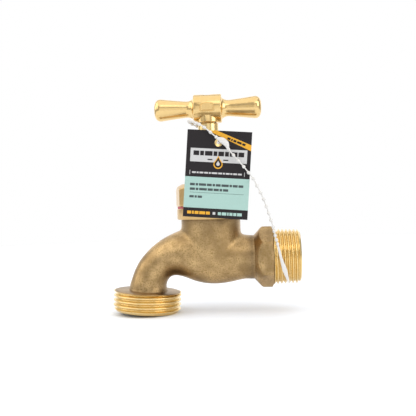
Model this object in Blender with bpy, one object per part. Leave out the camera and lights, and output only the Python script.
"""A quarter-turn hose bib in rough brass, with a tee handle, a ceramic disc headwork and a hanging swing tag.

The inlet axis is X and points out of the inlet thread. The spindle axis is Z and points up. The origin is
on the inlet axis, in the plane where the inlet thread meets its hexagon. Sizes are in millimetres and degrees.
"""

import math

import bmesh
import bpy
from mathutils import Matrix, Vector

MM = 0.001

# Fits
CLEARANCE = 0.3
WASHER_GAP = 0.2

# Inlet: 3/4 inch taper pipe thread behind a hexagon
INLET_CREST_RADIUS = 13.4
INLET_PITCH = 1.814
INLET_THREAD_DEPTH = 1.16
INLET_LENGTH = 12.8
TAPER = 1 / 32
INLET_BORE_RADIUS = 9.0
INLET_HEX_FLATS = 26.0
INLET_HEX_LENGTH = 9.3
INLET_LEAD_IN = 2.0
INLET_HEX_CHAMFERS = ((10.6, -9.5), (10.8, -9.3), (15.3, -5.2), (15.3, -0.85), (12.7, 0.5))

# Outlet: 1 inch parallel pipe thread at the end of the curved spout
OUTLET_FACE = (-62.1, 0.0, -15.5)
OUTLET_TILT = 4.2
OUTLET_CREST_RADIUS = 16.62
OUTLET_PITCH = 2.309
OUTLET_THREAD_DEPTH = 1.48
OUTLET_LENGTH = 9.7
OUTLET_MOUTH_RADIUS = 13.0
OUTLET_MOUTH_DEPTH = 5.0

# Heights along the spindle axis
SPINDLE_X = -30.1
SEAT_Z = 2.5
CHAMBER_TOP_Z = 16.6
COLLAR_BOTTOM_Z = 19.1
COLLAR_TOP_Z = 24.4
WASHER_THICKNESS = 0.8
BONNET_HEX_BOTTOM_Z = COLLAR_TOP_Z + WASHER_THICKNESS + 2 * WASHER_GAP
BONNET_HEX_TOP_Z = 36.3
BONNET_TOP_Z = 55.0
SHOULDER_Z = 19.3
HANDLE_Z = 73.1

# Rough casting: rails under and over the waterway, whose pairs of points span its sections, and the bores
UNDER_RAIL = (
    (-7.0, -10.6),
    (-11.0, -10.6),
    (-14.3, -10.5),
    (-20.2, -11.7),
    (-26.1, -12.5),
    (-32.0, -12.4),
    (-37.8, -11.2),
    (-43.7, -8.9),
    (-48.1, -8.0),
    (-51.0, -9.0),
    (-52.6, -11.7),
    (-52.9, -16.5),
)
OVER_RAIL = (
    (-7.0, 10.6),
    (-11.0, 10.7),
    (-14.3, 11.1),
    (-20.5, 12.2),
    (-27.0, 12.9),
    (-34.5, 13.6),
    (-43.0, 14.3),
    (-52.0, 11.0),
    (-59.8, 5.8),
    (-66.6, -2.0),
    (-70.7, -11.7),
    (-71.0, -16.5),
)
TUNNEL_LINE = ((-9.0, 0.0), (-14.0, -0.6), (-20.0, -3.0), (-26.0, -4.3), (-31.0, -4.6), (-35.7, -4.4))
TUNNEL_RADII = (8.8, 8.2, 6.9, 6.2, 6.0, 5.2)
SPOUT_LINE = (
    (-37.0, 8.6),
    (-42.0, 6.6),
    (-47.5, 3.2),
    (-53.0, -1.2),
    (-57.6, -6.2),
    (-60.6, -12.0),
    (-62.0, -18.0),
    (-62.45, -27.0),
)
SPOUT_RADII = (5.4, 5.8, 6.1, 6.3, 6.4, 6.6, 7.0, 7.3)
CASTING_WIDENING = 1.03
CASTING_GRAIN = 1.2
CASTING_FACE_SHARE = 0.2
NECK_FOOT_Z, NECK_FOOT_DEPTH = 5.0, 16.6

# Radii about the spindle axis
NECK_RADIUS = 14.4
COLLAR_RADIUS = 16.3
CHAMBER_RADIUS = 11.2
NECK_BORE_RADIUS = 10.5
SEAT_HOLE_RADIUS = 5.6
CAGE_RADIUS = 9.85
CAGE_BORE_RADIUS = 8.3
SPINDLE_RADIUS = 4.95
BONNET_BORE_RADIUS = SPINDLE_RADIUS + CLEARANCE
BONNET_HEX_FLATS = 31.8
BONNET_HEX_TURN = 11.0

# Spindle and its rings
FLANGE_RADIUS, FLANGE_BOTTOM_Z, FLANGE_TOP_Z = 7.7, 16.1, 18.1
O_RING_HEIGHTS = (38.9, 43.9)
O_RING_CENTRE_RADIUS, O_RING_SECTION_RADIUS = 4.4, 0.6
O_RING_GROOVE_RADIUS, O_RING_GROOVE_HALF = 3.6, 0.9
CLIP_GROOVE_RADIUS, CLIP_GROOVE_LOW_Z, CLIP_GROOVE_HIGH_Z = 4.2, 57.2, 58.4
SPINDLE_SHOULDER_Z, SQUARE_TOP_Z = 65.8, 74.2

# Stop: the lug swings in the open part of the bonnet's crown
QUARTER_TURN = 90.0
LUG_ANGLE = 180.0
LUG_HALF_WIDTH = 12.0
LUG_PLAY = 2.0

# Tee handle
HUB_RADIUS = 7.0
HUB_HALF_LENGTH = 6.85
SOCKET_SIDE = 7.4
SQUARE_SIDE = 6.8
HUB_BOSS_RADIUS = 5.9
SCREW_HOLE_RADIUS = 1.8
SCREW_RECESS_RADIUS = 3.1

# Swing tag and its tie
TAG_WIDTH = 29.6
TAG_HEIGHT = 40.0
TAG_THICKNESS = 0.4
TAG_HOLE = (-24.4, -20.0, 54.2)
TAG_HOLE_RADIUS = 1.8
TAG_HOLE_BELOW_TOP = 5.5
TAG_MIDDLE_FROM_HOLE = 0.3
TAG_LEAN = 4.8
STRING_RADIUS = 0.3

# Route of the loop, from the tie's head up across the spindle, round behind it and back through the tag
LOOP_ROUTE = (
    (-25.3, -21.6, 56.6),
    (-26.1, -21.3, 57.3),
    (-29.0, -21.2, 59.9),
    (-31.0, -21.0, 61.6),
    (-33.4, -18.6, 63.3),
    (-35.9, -12.6, 64.9),
    (-38.4, -7.0, 66.4),
    (-39.4, -1.5, 66.9),
    (-37.8, 5.0, 66.2),
    (-32.4, 8.6, 64.4),
    (-25.8, 7.6, 62.2),
    (-21.6, 2.0, 60.4),
    (-20.9, -5.0, 58.6),
    (-21.8, -12.0, 56.6),
    (-23.2, -17.0, 55.1),
    (-24.2, -19.6, 54.3),
    (-24.5, -20.9, 54.2),
)

# Route of the tail, from the tie's head over the card's front and down past the inlet hexagon
TAIL_ROUTE = (
    (-19.9, -22.3, 50.9),
    (-18.8, -22.3, 49.4),
    (-16.8, -22.1, 47.0),
    (-13.4, -21.9, 43.0),
    (-11.2, -21.8, 40.1),
    (-9.1, -21.5, 37.2),
    (-7.5, -21.5, 34.0),
    (-5.9, -21.2, 30.7),
    (-4.5, -20.5, 27.5),
    (-3.4, -19.6, 24.3),
    (-2.4, -18.6, 21.2),
    (-1.4, -17.5, 18.1),
    (-0.5, -16.6, 14.9),
    (0.1, -16.0, 12.1),
    (0.6, -15.7, 9.9),
    (1.4, -15.6, 6.9),
)
NEEDLE_LINE = ((1.5, -15.55, 6.5), (2.9, -15.2, 0.0), (4.1, -15.1, -4.2), (6.2, -15.0, -11.4))
NEEDLE_WIDTHS, NEEDLE_THICKNESSES = (1.0, 1.3, 2.2, 0.7), (0.8, 0.8, 0.8, 0.6)
HEAD_LINE = ((-24.75, -22.2, 56.0), (-22.6, -22.4, 54.9), (-20.9, -22.4, 53.4), (-20.1, -22.3, 51.25))
HEAD_WIDTHS, HEAD_THICKNESSES = (1.4, 2.9, 2.7, 1.2), (1.2, 2.4, 2.2, 1.1)


# Scene


def clear_scene():
    for obj in list(bpy.data.objects):
        bpy.data.objects.remove(obj, do_unlink=True)


def make_material(name, colour, roughness, metallic):
    material = bpy.data.materials.new(name)
    material.use_nodes = True
    shader = material.node_tree.nodes["Principled BSDF"]
    shader.inputs["Base Color"].default_value = (*colour, 1.0)
    shader.inputs["Roughness"].default_value = roughness
    shader.inputs["Metallic"].default_value = metallic
    return material


def make_axis(name, location, rotation=(0.0, 0.0, 0.0)):
    """An empty whose Z axis carries the pieces turned about it."""
    axis = bpy.data.objects.new(name, None)
    axis.location = Vector(location) * MM
    axis.rotation_euler = [math.radians(angle) for angle in rotation]
    bpy.context.scene.collection.objects.link(axis)
    return axis


def add_object(name, shape, parent=None, material=None):
    """Makes an object of a bmesh drawn in millimetres. Without a material it is a hidden helper."""
    bmesh.ops.scale(shape, vec=(MM, MM, MM), verts=shape.verts)
    bmesh.ops.recalc_face_normals(shape, faces=shape.faces)
    mesh = bpy.data.meshes.new(name)
    shape.to_mesh(mesh)
    shape.free()
    mesh.shade_smooth()
    mesh.set_sharp_from_angle(angle=math.radians(35))
    obj = bpy.data.objects.new(name, mesh)
    bpy.context.scene.collection.objects.link(obj)
    obj.parent = parent
    if material:
        mesh.materials.append(material)
    else:
        obj.hide_render = True
        obj.display_type = "WIRE"
    return obj


def boolean(obj, operation, *tools):
    for tool in tools:
        modifier = obj.modifiers.new(tool.name, "BOOLEAN")
        modifier.operation = operation
        modifier.solver = "EXACT"
        modifier.object = tool


# Shapes, in millimetres


def circle(radius, segments, centre=(0.0, 0.0, 0.0), across=(1, 0, 0), up=(0, 1, 0), squash=1.0):
    across, up, centre = Vector(across), Vector(up), Vector(centre)
    angles = [math.tau * step / segments for step in range(segments)]
    return [centre + radius * (across * math.cos(a) + up * squash * math.sin(a)) for a in angles]


def skin(rings, closed=False):
    """Joins rings of equally many points, one to the next. The ends are capped, or joined if it is closed."""
    shape = bmesh.new()
    loops = [[shape.verts.new(point) for point in ring] for ring in rings]
    pairs = list(zip(loops, loops[1:])) + ([(loops[-1], loops[0])] if closed else [])
    for lower, upper in pairs:
        for index in range(len(lower)):
            after = (index + 1) % len(lower)
            shape.faces.new((lower[index], lower[after], upper[after], upper[index]))
    if not closed:
        shape.faces.new(loops[0])
        shape.faces.new(loops[-1])
    return shape


def turned(profile, segments=32):
    """A solid bar turned about Z, from (radius, height) points."""
    return skin([circle(radius, segments, (0, 0, height)) for radius, height in profile])


def turned_ring(profile, segments=32):
    """A ring turned about Z, whose section is the closed outline of (radius, height) points."""
    return skin([circle(radius, segments, (0, 0, height)) for radius, height in profile], closed=True)


def prism(outline, bottom, top):
    return skin([[Vector((x, y, height)) for x, y in outline] for height in (bottom, top)])


def box(low, high):
    (x0, y0, z0), (x1, y1, z1) = low, high
    return prism(((x0, y0), (x1, y0), (x1, y1), (x0, y1)), z0, z1)


def hexagon(flats, bottom, top, turn=0.0):
    radius = flats / math.sqrt(3)
    corners = [math.radians(turn + 60 * step) for step in range(6)]
    return prism([(radius * math.cos(a), radius * math.sin(a)) for a in corners], bottom, top)


def sector(inner, outer, start, end, bottom, top, steps=16):
    angles = [math.radians(start + (end - start) * step / steps) for step in range(steps + 1)]
    outline = [(outer * math.cos(a), outer * math.sin(a)) for a in angles]
    outline += [(inner * math.cos(a), inner * math.sin(a)) for a in reversed(angles)]
    return prism(outline, bottom, top)


def smooth_path(points, spacing):
    """Points about a spacing apart on a smooth curve through the given ones (Catmull-Rom)."""
    route = [Vector(point) for point in points]
    route = [2 * route[0] - route[1], *route, 2 * route[-1] - route[-2]]
    path = []
    for before, start, end, after in zip(route, route[1:], route[2:], route[3:]):
        steps = max(1, round((end - start).length / spacing))
        for step in range(steps):
            t = step / steps
            bend = (2 * before - 5 * start + 4 * end - after) * t**2
            twist = (3 * start - before - 3 * end + after) * t**3
            path.append(0.5 * (2 * start + (end - before) * t + bend + twist))
    return [*path, route[-2]]


def tube(line, radii, segments=20, squash=1.0):
    """A solid through circles square to a line of (x, z) points. The squash widens or narrows it along Y."""
    rings = []
    sideways = Vector((0, 1, 0))
    centres = [Vector((x, 0, z)) for x, z in line]
    for index, centre in enumerate(centres):
        along = (centres[min(index + 1, len(centres) - 1)] - centres[max(index - 1, 0)]).normalized()
        rings.append(circle(radii[index], segments, centre, along.cross(sideways), sideways, squash))
    return skin(rings)


def threaded_bar(crest, depth, pitch, bottom, top, taper=0.0, segments=28):
    """A bar along Z with a right-hand thread cut on it, tapering to the top.

    Each turn has four rows: both edges of the crest and both edges of the root. A row is a closed ring that
    steps back by one row at every quarter turn, so the diagonals between rows follow the helix.
    """
    offsets = (0.07, 0.43, 0.57, 0.93)
    heights = (0.0, 1.0, 1.0, 0.0)
    margin = 0.45 * pitch
    rows = []
    turns = range(4 * math.floor(bottom / pitch) - 8, 4 * math.ceil(top / pitch) + 8)
    for row in turns:
        ring = []
        for step in range(segments):
            fraction = step / segments
            line = row - round(4 * fraction)
            height = pitch * (line // 4 + offsets[line % 4] + fraction)
            radius = crest - taper * height - depth * heights[line % 4]
            angle = math.tau * fraction
            ring.append(Vector((radius * math.cos(angle), radius * math.sin(angle), height)))
        if min(point.z for point in ring) > bottom + margin and max(point.z for point in ring) < top - margin:
            rows.append(ring)
    root = crest - depth
    rows.insert(0, circle(root - taper * bottom, segments, (0, 0, bottom)))
    rows.append(circle(root - taper * top, segments, (0, 0, top)))
    shape = bmesh.new()
    loops = [[shape.verts.new(point) for point in ring] for ring in rows]
    for lower, upper in zip(loops, loops[1:]):
        for index in range(segments):
            after = (index + 1) % segments
            shape.faces.new((lower[index], lower[after], upper[after]))
            shape.faces.new((lower[index], upper[after], upper[index]))
    shape.faces.new(loops[0])
    shape.faces.new(loops[-1])
    return shape


# Body casting


def rough_casting(material):
    """The cast waterway: a tube that swells into the belly and curls into the spout, and a round neck."""
    centres = [((x0 + x1) / 2, (z0 + z1) / 2) for (x0, z0), (x1, z1) in zip(UNDER_RAIL, OVER_RAIL)]
    radii = [math.dist(low, high) / 2 for low, high in zip(UNDER_RAIL, OVER_RAIL)]
    casting = tube(centres, radii, 24, CASTING_WIDENING)
    neck = [(NECK_RADIUS, COLLAR_BOTTOM_Z + 1.0), (NECK_RADIUS, NECK_FOOT_Z)]
    for degrees in range(15, 90, 15):
        angle = math.radians(degrees)
        neck.append((NECK_RADIUS * math.cos(angle), NECK_FOOT_Z - NECK_FOOT_DEPTH * math.sin(angle)))
    bowl = turned(neck)
    bmesh.ops.translate(bowl, vec=(SPINDLE_X, 0, 0), verts=bowl.verts)
    scratch = bpy.data.meshes.new("bowl")
    bowl.to_mesh(scratch)
    bowl.free()
    casting.from_mesh(scratch)
    body = add_object("body_casting", casting, material=material)
    remesh = body.modifiers.new("cast in one", "REMESH")
    remesh.mode = "VOXEL"
    remesh.voxel_size = CASTING_GRAIN * MM
    remesh.use_smooth_shade = True
    smooth = body.modifiers.new("fillets", "SMOOTH")
    smooth.factor = 0.5
    smooth.iterations = 8
    thin = body.modifiers.new("fewer faces", "DECIMATE")
    thin.ratio = CASTING_FACE_SHARE
    return body


def body_casting(material, inlet_axis, spindle_axis, outlet_axis):
    body = rough_casting(material)
    inlet_hex = add_object("inlet_hex", hexagon(INLET_HEX_FLATS, -INLET_HEX_LENGTH, 0.0), inlet_axis)
    chamfers = add_object("inlet_hex_chamfers", turned(INLET_HEX_CHAMFERS), inlet_axis)
    boolean(inlet_hex, "INTERSECT", chamfers)
    thread = threaded_bar(
        INLET_CREST_RADIUS, INLET_THREAD_DEPTH, INLET_PITCH, -INLET_LEAD_IN, INLET_LENGTH, TAPER
    )
    inlet_thread = add_object("inlet_thread", thread, inlet_axis)
    thread = threaded_bar(
        OUTLET_CREST_RADIUS, OUTLET_THREAD_DEPTH, OUTLET_PITCH, -OUTLET_LENGTH, 0.0, segments=32
    )
    outlet_thread = add_object("outlet_thread", thread, outlet_axis)
    edge = 0.5
    collar = turned(
        (
            (COLLAR_RADIUS - edge, COLLAR_BOTTOM_Z),
            (COLLAR_RADIUS, COLLAR_BOTTOM_Z + edge),
            (COLLAR_RADIUS, COLLAR_TOP_Z - edge),
            (COLLAR_RADIUS - edge, COLLAR_TOP_Z),
        )
    )
    collar = add_object("neck_collar", collar, spindle_axis)
    boolean(body, "UNION", inlet_hex, inlet_thread, outlet_thread, collar)

    inlet_bore = turned(((INLET_BORE_RADIUS, -12.0), (INLET_BORE_RADIUS, 16.0)))
    inlet_bore = add_object("inlet_bore", inlet_bore, inlet_axis)
    tunnel = add_object("inlet_tunnel", tube(TUNNEL_LINE, TUNNEL_RADII))
    seat_hole = turned(((SEAT_HOLE_RADIUS, -4.5), (SEAT_HOLE_RADIUS, SEAT_Z + 1)))
    seat_hole = add_object("seat_hole", seat_hole, spindle_axis)
    chamber = turned(((CHAMBER_RADIUS, SEAT_Z), (CHAMBER_RADIUS, CHAMBER_TOP_Z)))
    chamber = add_object("chamber", chamber, spindle_axis)
    neck_bore = turned(((NECK_BORE_RADIUS, CHAMBER_TOP_Z - 1), (NECK_BORE_RADIUS, COLLAR_TOP_Z + 1)))
    neck_bore = add_object("neck_bore", neck_bore, spindle_axis)
    spout_bore = add_object("spout_bore", tube(SPOUT_LINE, SPOUT_RADII))
    mouth = turned(
        ((OUTLET_MOUTH_RADIUS, -OUTLET_LENGTH - 1), (OUTLET_MOUTH_RADIUS, OUTLET_MOUTH_DEPTH - OUTLET_LENGTH))
    )
    mouth = add_object("outlet_mouth", mouth, outlet_axis)
    boolean(body, "DIFFERENCE", inlet_bore, tunnel, seat_hole, chamber, neck_bore, spout_bore, mouth)


# Headwork


def bonnet(material, spindle_axis):
    """The headwork body: windowed cage, thread, hexagon, upper neck and the crown that stops the lug."""
    cage_bottom, thread_bottom, relief_bottom = 3.0, 16.9, 24.0
    thread_radius, relief_radius, neck_radius = 10.15, 9.6, 8.5
    blank = turned_ring(
        (
            (CAGE_RADIUS, cage_bottom),
            (CAGE_RADIUS, thread_bottom),
            (thread_radius, thread_bottom + 0.3),
            (thread_radius, relief_bottom),
            (relief_radius, relief_bottom + 0.5),
            (relief_radius, BONNET_HEX_BOTTOM_Z + 1),
            (relief_radius, BONNET_HEX_TOP_Z - 1),
            (neck_radius + 1.0, BONNET_HEX_TOP_Z),
            (neck_radius, BONNET_HEX_TOP_Z + 1.2),
            (neck_radius, BONNET_TOP_Z - 4),
            (neck_radius, BONNET_TOP_Z),
            (BONNET_BORE_RADIUS, BONNET_TOP_Z),
            (BONNET_BORE_RADIUS, SHOULDER_Z),
            (CAGE_BORE_RADIUS, SHOULDER_Z),
            (CAGE_BORE_RADIUS, cage_bottom),
        )
    )
    body = add_object("bonnet", blank, spindle_axis, material)
    nut = hexagon(BONNET_HEX_FLATS, BONNET_HEX_BOTTOM_Z, BONNET_HEX_TOP_Z, 30 + BONNET_HEX_TURN)
    nut = add_object("bonnet_hex", nut, spindle_axis)
    slope = math.tan(math.radians(30))
    crown_radius, corner_radius = 13.9, 18.4
    envelope = (
        (corner_radius, BONNET_HEX_BOTTOM_Z - 1),
        (corner_radius, BONNET_HEX_TOP_Z - slope * (corner_radius - crown_radius)),
        (crown_radius, BONNET_HEX_TOP_Z),
        (crown_radius, BONNET_HEX_TOP_Z + 1),
    )
    chamfer = add_object("bonnet_hex_chamfer", turned(envelope, 36), spindle_axis)
    core_radius = relief_radius - 0.5
    core = turned(((core_radius, BONNET_HEX_BOTTOM_Z - 2), (core_radius, BONNET_HEX_TOP_Z + 2)))
    core = add_object("bonnet_hex_core", core, spindle_axis)
    boolean(nut, "INTERSECT", chamfer)
    boolean(nut, "DIFFERENCE", core)
    open_half = LUG_HALF_WIDTH + LUG_PLAY
    crown = sector(
        neck_radius - 0.9,
        neck_radius,
        LUG_ANGLE + open_half,
        360 + LUG_ANGLE - QUARTER_TURN - open_half,
        BONNET_TOP_Z - 0.5,
        BONNET_TOP_Z + 2.3,
    )
    crown = add_object("stop_crown", crown, spindle_axis)
    boolean(body, "UNION", nut, crown)
    windows = add_object("cage_windows", box((-12, -4.5, 11.2), (12, 4.5, 16.0)), spindle_axis)
    boolean(body, "DIFFERENCE", windows)


def bonnet_washer(material, spindle_axis):
    bottom = COLLAR_TOP_Z + WASHER_GAP
    top = bottom + WASHER_THICKNESS
    ring = turned_ring(((16.0, bottom), (16.0, top), (10.4, top), (10.4, bottom)))
    add_object("bonnet_washer", ring, spindle_axis, material)


def ceramic_disc(name, material, spindle_axis, radius, bottom, top):
    """A disc with two sector ports, open towards the inlet and outlet sides."""
    disc = add_object(name, turned(((radius, bottom), (radius, top))), spindle_axis, material)
    for side, middle in (("a", 0), ("b", 180)):
        port = sector(2.4, 6.5, middle - 40, middle + 40, bottom - 1, top + 1, 8)
        boolean(disc, "DIFFERENCE", add_object(f"{name}_port_{side}", port, spindle_axis))
    return disc


def cartridge(rubber, ceramic, plastic, spindle_axis):
    """The seal, the two ceramic discs and the carrier that turns the upper one."""
    ring = turned_ring(((8.0, 2.8), (8.0, 5.0), (5.3, 5.0), (5.3, 2.8)))
    add_object("seat_seal", ring, spindle_axis, rubber)
    ceramic_disc("fixed_disc", ceramic, spindle_axis, 8.0, 5.3, 7.8)
    turning = ceramic_disc("turning_disc", ceramic, spindle_axis, 7.9, 8.1, 10.4)
    slot = add_object("turning_disc_slot", box((-1.0, -9, 9.1), (1.0, 9, 11)), spindle_axis)
    boolean(turning, "DIFFERENCE", slot)
    carrier = add_object("disc_carrier", turned(((7.9, 10.7), (7.9, 13.4))), spindle_axis, plastic)
    bar = add_object("disc_carrier_bar", box((-3, -9, 10), (3, 9, 14)), spindle_axis)
    rib = add_object("disc_carrier_rib", box((-0.7, -7.2, 9.6), (0.7, 7.2, 11.2)), spindle_axis)
    groove = add_object("disc_carrier_groove", box((-1.45, -9, 11.6), (1.45, 9, 14)), spindle_axis)
    boolean(carrier, "INTERSECT", bar)
    boolean(carrier, "UNION", rib)
    boolean(carrier, "DIFFERENCE", groove)


def spindle(material, spindle_axis):
    """Tongue, thrust flange, two O-ring grooves, clip groove, keyway and the square for the handle."""
    profile = [(FLANGE_RADIUS, FLANGE_BOTTOM_Z), (FLANGE_RADIUS, FLANGE_TOP_Z)]
    profile += [(SPINDLE_RADIUS, FLANGE_TOP_Z)]
    for middle in O_RING_HEIGHTS:
        low, high = middle - O_RING_GROOVE_HALF, middle + O_RING_GROOVE_HALF
        profile += [(SPINDLE_RADIUS, low), (O_RING_GROOVE_RADIUS, low)]
        profile += [(O_RING_GROOVE_RADIUS, high), (SPINDLE_RADIUS, high)]
    profile += [(SPINDLE_RADIUS, CLIP_GROOVE_LOW_Z), (CLIP_GROOVE_RADIUS, CLIP_GROOVE_LOW_Z)]
    profile += [(CLIP_GROOVE_RADIUS, CLIP_GROOVE_HIGH_Z), (SPINDLE_RADIUS, CLIP_GROOVE_HIGH_Z)]
    profile += [(SPINDLE_RADIUS, SPINDLE_SHOULDER_Z - 0.4), (SPINDLE_RADIUS - 0.4, SPINDLE_SHOULDER_Z)]
    shaft = add_object("spindle", turned(profile), spindle_axis, material)
    half = SQUARE_SIDE / 2
    square = add_object("spindle_square", box((-half, -half, 60), (half, half, SQUARE_TOP_Z)), spindle_axis)
    tongue = add_object("spindle_tongue", box((-1.15, -4.5, 11.9), (1.15, 4.5, 17)), spindle_axis)
    keyway = add_object("spindle_keyway", box((-0.8, 3.75, 54.6), (0.8, 6, 67)), spindle_axis)
    hole = turned(((SCREW_HOLE_RADIUS, 67.5), (SCREW_HOLE_RADIUS, 75)), 24)
    hole = add_object("spindle_screw_hole", hole, spindle_axis)
    boolean(shaft, "UNION", square, tongue)
    boolean(shaft, "DIFFERENCE", keyway, hole)


def spindle_rings(rubber, plastic, brass, steel, spindle_axis):
    """What sits on the spindle: two O-rings, the thrust washer, the keyed stop ring and the open clip."""
    for name, middle in zip(("spindle_o_ring_lower", "spindle_o_ring_upper"), O_RING_HEIGHTS):
        section = circle(O_RING_SECTION_RADIUS, 8, (O_RING_CENTRE_RADIUS, middle, 0))
        section = [(point.x, point.y) for point in section]
        add_object(name, turned_ring(section, 28), spindle_axis, rubber)
    thrust = turned_ring(((7.9, 18.4), (7.9, 19.0), (5.3, 19.0), (5.3, 18.4)))
    add_object("thrust_washer", thrust, spindle_axis, plastic)
    low, high = BONNET_TOP_Z + CLEARANCE, BONNET_TOP_Z + 1.9
    bore = BONNET_BORE_RADIUS
    stop = turned_ring(((7.2, low), (7.2, high), (bore, high), (bore, low)))
    stop = add_object("stop_ring", stop, spindle_axis, brass)
    lug = sector(6.5, 8.4, LUG_ANGLE - LUG_HALF_WIDTH, LUG_ANGLE + LUG_HALF_WIDTH, low, high, 4)
    lug = add_object("stop_lug", lug, spindle_axis)
    key = add_object("stop_key", box((-0.5, 4.05, low), (0.5, 6.0, high)), spindle_axis)
    boolean(stop, "UNION", lug, key)
    clip = sector(4.5, 6.3, 120, 420, 57.4, 58.2, 28)
    add_object("retaining_ring", clip, spindle_axis, steel)


# Handle


def tee_handle(material, handle_axis, spindle_axis):
    half_arm = (
        (HUB_RADIUS, HUB_HALF_LENGTH - 0.75),
        (HUB_RADIUS - 0.3, HUB_HALF_LENGTH - 0.25),
        (6.1, HUB_HALF_LENGTH),
        (5.0, 7.1),
        (4.3, 7.8),
        (3.9, 8.9),
        (3.85, 10.0),
        (5.42, 23.2),
        (5.2, 24.1),
        (4.6, 25.0),
        (3.4, 25.8),
        (1.9, 26.2),
    )
    profile = [(radius, -reach) for radius, reach in reversed(half_arm)] + list(half_arm)
    handle = add_object("tee_handle", turned(profile, 28), handle_axis, material)
    pad = add_object("handle_pad", box((-2.9, -7.35, 71.2), (2.9, -5.0, 74.4)), spindle_axis)
    boss = turned(((HUB_BOSS_RADIUS, HANDLE_Z - HUB_RADIUS), (HUB_BOSS_RADIUS, HANDLE_Z - 3)), 24)
    boss = add_object("handle_boss", boss, spindle_axis)
    half = SOCKET_SIDE / 2
    socket = add_object("handle_socket", box((-half, -half, 60), (half, half, 74.6)), spindle_axis)
    hole = turned(((SCREW_HOLE_RADIUS, 74), (SCREW_HOLE_RADIUS, 76)), 24)
    hole = add_object("handle_screw_hole", hole, spindle_axis)
    recess = turned(((SCREW_RECESS_RADIUS, 75.6), (SCREW_RECESS_RADIUS, 82)), 24)
    recess = add_object("handle_screw_recess", recess, spindle_axis)
    boolean(handle, "UNION", pad, boss)
    boolean(handle, "DIFFERENCE", socket, hole, recess)


def handle_screw(material, spindle_axis):
    head_bottom, head_top, head_radius, shank_radius = 76.8, 79.0, 2.75, 1.5
    profile = (
        (shank_radius - 0.5, 68.2),
        (shank_radius, 68.8),
        (shank_radius, head_bottom),
        (head_radius, head_bottom),
        (head_radius, head_top - 0.9),
        (head_radius - 0.7, head_top - 0.2),
        (head_radius - 1.6, head_top),
    )
    screw = add_object("handle_screw", turned(profile, 28), spindle_axis, material)
    for name, reach_x, reach_y in (("cross_a", 1.6, 0.35), ("cross_b", 0.35, 1.6)):
        slot = box((-reach_x, -reach_y, head_top - 1.1), (reach_x, reach_y, head_top + 1))
        boolean(screw, "DIFFERENCE", add_object(f"handle_screw_{name}", slot, spindle_axis))
    washer = turned_ring(((2.85, 75.85), (2.85, 76.5), (1.8, 76.5), (1.8, 75.85)), 28)
    add_object("handle_screw_washer", washer, spindle_axis, material)


# Tag and tie


def swing_tag(material, tag_axis):
    left, right = TAG_MIDDLE_FROM_HOLE - TAG_WIDTH / 2, TAG_MIDDLE_FROM_HOLE + TAG_WIDTH / 2
    top = TAG_HOLE_BELOW_TOP
    thick = TAG_THICKNESS / 2
    blank = box((left, -thick, top - TAG_HEIGHT), (right, thick, top))
    card = add_object("swing_tag", blank, tag_axis, material)
    hole = turned(((TAG_HOLE_RADIUS, -2), (TAG_HOLE_RADIUS, 2)), 24)
    bmesh.ops.rotate(hole, matrix=Matrix.Rotation(math.radians(90), 3, "X"), verts=hole.verts)
    boolean(card, "DIFFERENCE", add_object("swing_tag_hole", hole, tag_axis))


def string(name, route, material):
    """A free cord: a curve with a bevel along a smooth path, with a point every three diameters."""
    points = smooth_path(route, 6 * STRING_RADIUS)
    curve = bpy.data.curves.new(name, "CURVE")
    curve.dimensions = "3D"
    curve.bevel_depth = STRING_RADIUS * MM
    curve.bevel_resolution = 2
    curve.use_fill_caps = True
    spline = curve.splines.new("POLY")
    spline.points.add(len(points) - 1)
    for target, point in zip(spline.points, points):
        target.co = (*(point * MM), 1.0)
    curve.materials.append(material)
    obj = bpy.data.objects.new(name, curve)
    bpy.context.scene.collection.objects.link(obj)


def loft_line(line, widths, thicknesses):
    """A solid through oval sections that face the front, along a falling line."""
    rings = []
    for index, centre in enumerate(line):
        along = (Vector(line[min(index + 1, len(line) - 1)]) - Vector(line[max(index - 1, 0)])).normalized()
        across = along.cross(Vector((0, 1, 0))).normalized()
        front = across.cross(along)
        rings.append(circle(widths[index] / 2, 12, centre, across, front, thicknesses[index] / widths[index]))
    return skin(rings)


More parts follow.
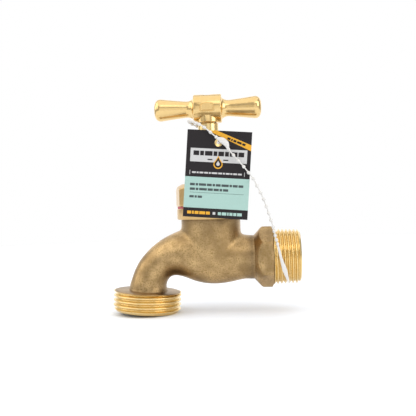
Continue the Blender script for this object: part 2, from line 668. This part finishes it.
def tie(material):
    """The tag tie's four pieces: a head, the loop round the spindle, the hanging tail and its flat needle."""
    head = loft_line(HEAD_LINE, HEAD_WIDTHS, HEAD_THICKNESSES)
    add_object("tie_head", head, material=material)
    string("tie_loop", LOOP_ROUTE, material)
    string("tie_tail", TAIL_ROUTE, material)
    needle = loft_line(NEEDLE_LINE, NEEDLE_WIDTHS, NEEDLE_THICKNESSES)
    add_object("tie_needle", needle, material=material)


def main():
    clear_scene()
    rough_brass = make_material("rough cast brass", (0.43, 0.29, 0.13), 0.55, 1.0)
    brass = make_material("machined brass", (0.80, 0.56, 0.22), 0.28, 1.0)
    polished = make_material("polished brass", (0.85, 0.62, 0.27), 0.16, 1.0)
    steel = make_material("zinc plated steel", (0.62, 0.61, 0.58), 0.3, 1.0)
    fibre = make_material("red fibre", (0.42, 0.09, 0.08), 0.85, 0.0)
    rubber = make_material("black rubber", (0.02, 0.02, 0.02), 0.7, 0.0)
    ceramic = make_material("alumina ceramic", (0.86, 0.84, 0.80), 0.25, 0.0)
    plastic = make_material("white acetal", (0.82, 0.81, 0.78), 0.4, 0.0)
    card = make_material("printed card", (0.035, 0.03, 0.03), 0.5, 0.0)
    nylon = make_material("white nylon", (0.85, 0.85, 0.84), 0.45, 0.0)

    inlet_axis = make_axis("inlet_axis", (0, 0, 0), (0, 90, 0))
    spindle_axis = make_axis("spindle_axis", (SPINDLE_X, 0, 0))
    outlet_axis = make_axis("outlet_axis", OUTLET_FACE, (0, OUTLET_TILT, 0))
    handle_axis = make_axis("handle_axis", (SPINDLE_X, 0, HANDLE_Z), (0, 90, 0))
    tag_axis = make_axis("tag_axis", TAG_HOLE, (0, TAG_LEAN, 0))

    body_casting(rough_brass, inlet_axis, spindle_axis, outlet_axis)
    bonnet(brass, spindle_axis)
    bonnet_washer(fibre, spindle_axis)
    cartridge(rubber, ceramic, plastic, spindle_axis)
    spindle(brass, spindle_axis)
    spindle_rings(rubber, plastic, brass, steel, spindle_axis)
    tee_handle(polished, handle_axis, spindle_axis)
    handle_screw(steel, spindle_axis)
    swing_tag(card, tag_axis)
    tie(nylon)


main()
